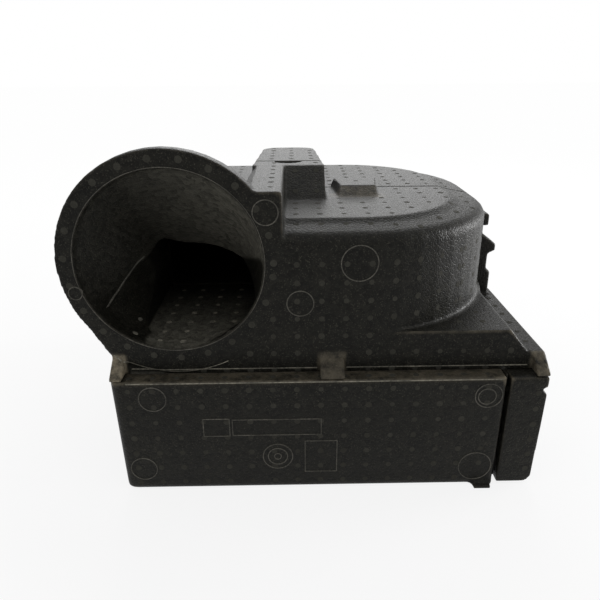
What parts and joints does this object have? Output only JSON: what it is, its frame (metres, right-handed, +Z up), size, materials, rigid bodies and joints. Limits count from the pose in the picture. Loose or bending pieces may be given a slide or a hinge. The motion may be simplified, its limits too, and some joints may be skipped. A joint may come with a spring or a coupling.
{
  "type": "air filter housing",
  "caption": "Moulded bead-foam air filter housing: an open tray under a split scroll hood with a round duct collar, and a side drawer that carries a framed pleated filter.",
  "frame": {"origin": "centre of the bounding box at the level of the tray's underside", "axes": "+X to the right along the drawer's pull-out direction, +Y from the collar's face towards the back, +Z up"},
  "size_m": [0.403, 0.346, 0.2991],
  "materials": {
    "black_bead_foam": "near-black moulded bead foam, fine bead cells, worn paler at the edges",
    "seal_foam": "soft closed-cell sealing foam, matt black",
    "black_plastic": "moulded black plastic, slight sheen",
    "grey_plastic": "moulded mid-grey plastic, slight sheen",
    "pleated_paper": "pleated cream filter paper, matt",
    "coarse_fibre": "off-white fibre mat",
    "zinc_wire": "zinc-coated wire"
  },
  "bodies": {
    "housing_base": {"lower_tray": "black_bead_foam", "tray_seal": "seal_foam", "guide_strip_front": "grey_plastic", "guide_strip_rear": "grey_plastic", "inlet_grille": "black_plastic", "grille_pin_lower_left": "black_plastic", "grille_pin_upper_left": "black_plastic", "grille_pin_lower_right": "black_plastic", "grille_pin_upper_right": "black_plastic"},
    "filter_drawer": {"drawer_front": "black_bead_foam", "drawer_seal": "seal_foam", "cassette_clip_front": "grey_plastic", "cassette_clip_rear": "grey_plastic", "filter_frame_front": "grey_plastic", "filter_frame_rear": "grey_plastic", "filter_frame_left": "grey_plastic", "filter_frame_right": "grey_plastic", "coarse_mat": "coarse_fibre", "filter_media": "pleated_paper", "support_grid": "zinc_wire", "filter_gasket": "seal_foam"},
    "hood_front_half": {"front_hood": "black_bead_foam"},
    "hood_rear_half": {"rear_hood": "black_bead_foam", "seam_seal": "seal_foam"}
  },
  "joints": [
    {"name": "drawer_slide", "type": "slide", "parent": "housing_base", "child": "filter_drawer", "axis": [1, 0, 0], "range_m": [0, 0.32]},
    {"name": "front_hood_lift", "type": "slide", "parent": "housing_base", "child": "hood_front_half", "axis": [0, 0, 1], "range_m": [0, 0.12]},
    {"name": "rear_hood_slide", "type": "slide", "parent": "housing_base", "child": "hood_rear_half", "axis": [0, 1, 0], "range_m": [0, 0.15]}
  ]
}
